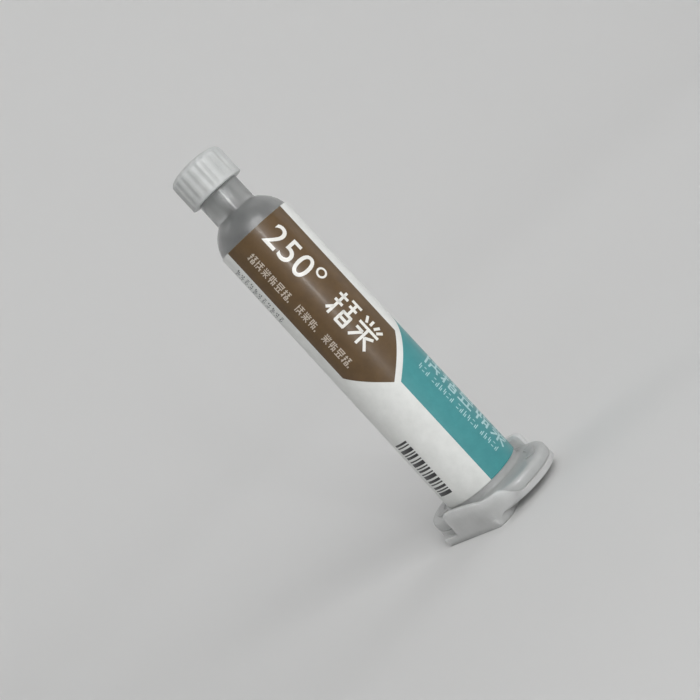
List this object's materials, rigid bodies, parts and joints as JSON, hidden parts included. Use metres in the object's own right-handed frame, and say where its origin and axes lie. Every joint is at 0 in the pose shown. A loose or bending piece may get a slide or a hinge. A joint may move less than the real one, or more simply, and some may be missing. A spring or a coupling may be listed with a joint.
{
  "type": "solder paste syringe",
  "caption": "Tapered plastic dispensing syringe of solder paste with a wrapped label, ribbed tip cap, finger flange, clip-on end cap and wiper piston.",
  "frame": {"origin": "centre of the end cap's flat rear face, which is the bottom of the bounding box as the syringe stands", "axes": "+Z along the barrel's axis from the end cap to the tip cap, X along the flange's long axis, Y across it"},
  "size_m": [0.0346, 0.0232, 0.0961],
  "materials": {
    "end_cap_plastic": "translucent natural moulding, satin gloss",
    "barrel_plastic": "translucent natural moulding, glossy",
    "label_film": "laminated printed film with a soft sheen",
    "paste": "dull grey metal powder in flux, soft and slightly grainy",
    "piston_plastic": "white moulding, satin",
    "tip_cap_plastic": "natural white moulding, satin"
  },
  "bodies": {
    "end_cap": {"end_cap": "end_cap_plastic"},
    "barrel": {"barrel": "barrel_plastic", "label": "label_film", "solder_paste": "paste"},
    "piston": {"piston": "piston_plastic"},
    "tip_cap": {"tip_cap": "tip_cap_plastic"}
  },
  "joints": [
    {"name": "end_cap_pull", "type": "slide", "parent": "end_cap", "child": "barrel", "axis": [0, 0, 1], "range_m": [0, 0.012]},
    {"name": "piston_travel", "type": "slide", "parent": "barrel", "child": "piston", "axis": [0, 0, 1], "range_m": [0, 0.0454], "deforming": ["solder_paste"]},
    {"name": "tip_cap_pull", "type": "slide", "parent": "barrel", "child": "tip_cap", "axis": [0, 0, 1], "range_m": [0, 0.012]}
  ]
}
